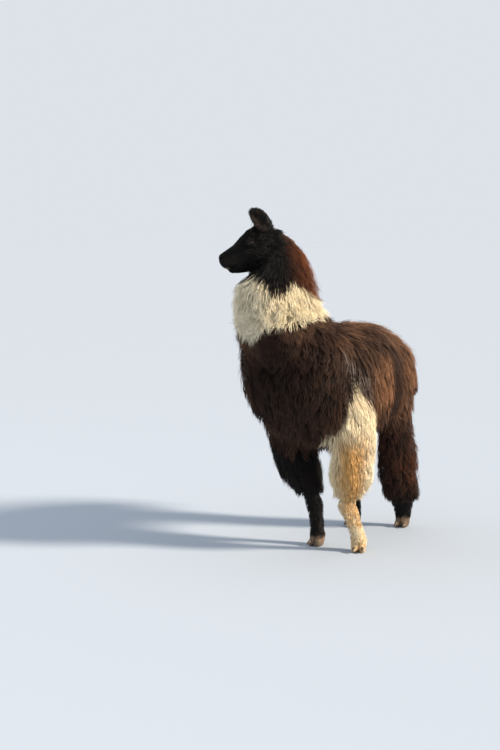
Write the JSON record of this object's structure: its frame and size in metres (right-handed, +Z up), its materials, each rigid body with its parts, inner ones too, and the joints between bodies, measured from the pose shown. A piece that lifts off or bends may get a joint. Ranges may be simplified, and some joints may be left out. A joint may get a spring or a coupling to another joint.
{
  "type": "llama",
  "caption": "Still, life-size standing llama in long dark wool with a cream collar and one cream foreleg, its head turned to its right.",
  "frame": {"origin": "middle of the whole animal's footprint, on the floor under its soles", "axes": "+Z up, the trunk faces -Y, the animal's left side is +X"},
  "size_m": [0.6412, 1.4549, 1.6981],
  "materials": {
    "wool": "long dark brown wool in soft locks, reddish at the tips",
    "pale_wool": "cream wool with tan tips",
    "face": "short black-brown hair",
    "eye": "wet, very dark brown eye",
    "nail": "dull grey-brown horn"
  },
  "bodies": {
    "root": {"trunk": "wool", "neck": "wool", "head": "face", "ear_left": "face", "ear_right": "face", "eye_left": "eye", "eye_right": "eye", "tail": "wool", "foreleg_left": "pale_wool", "foreleg_right": "wool", "hindleg_left": "wool", "hindleg_right": "wool", "nail_foreleg_left_left": "nail", "nail_foreleg_left_right": "nail", "nail_foreleg_right_left": "nail", "nail_foreleg_right_right": "nail", "nail_hindleg_left_left": "nail", "nail_hindleg_left_right": "nail", "nail_hindleg_right_left": "nail", "nail_hindleg_right_right": "nail"}
  },
  "joints": []
}
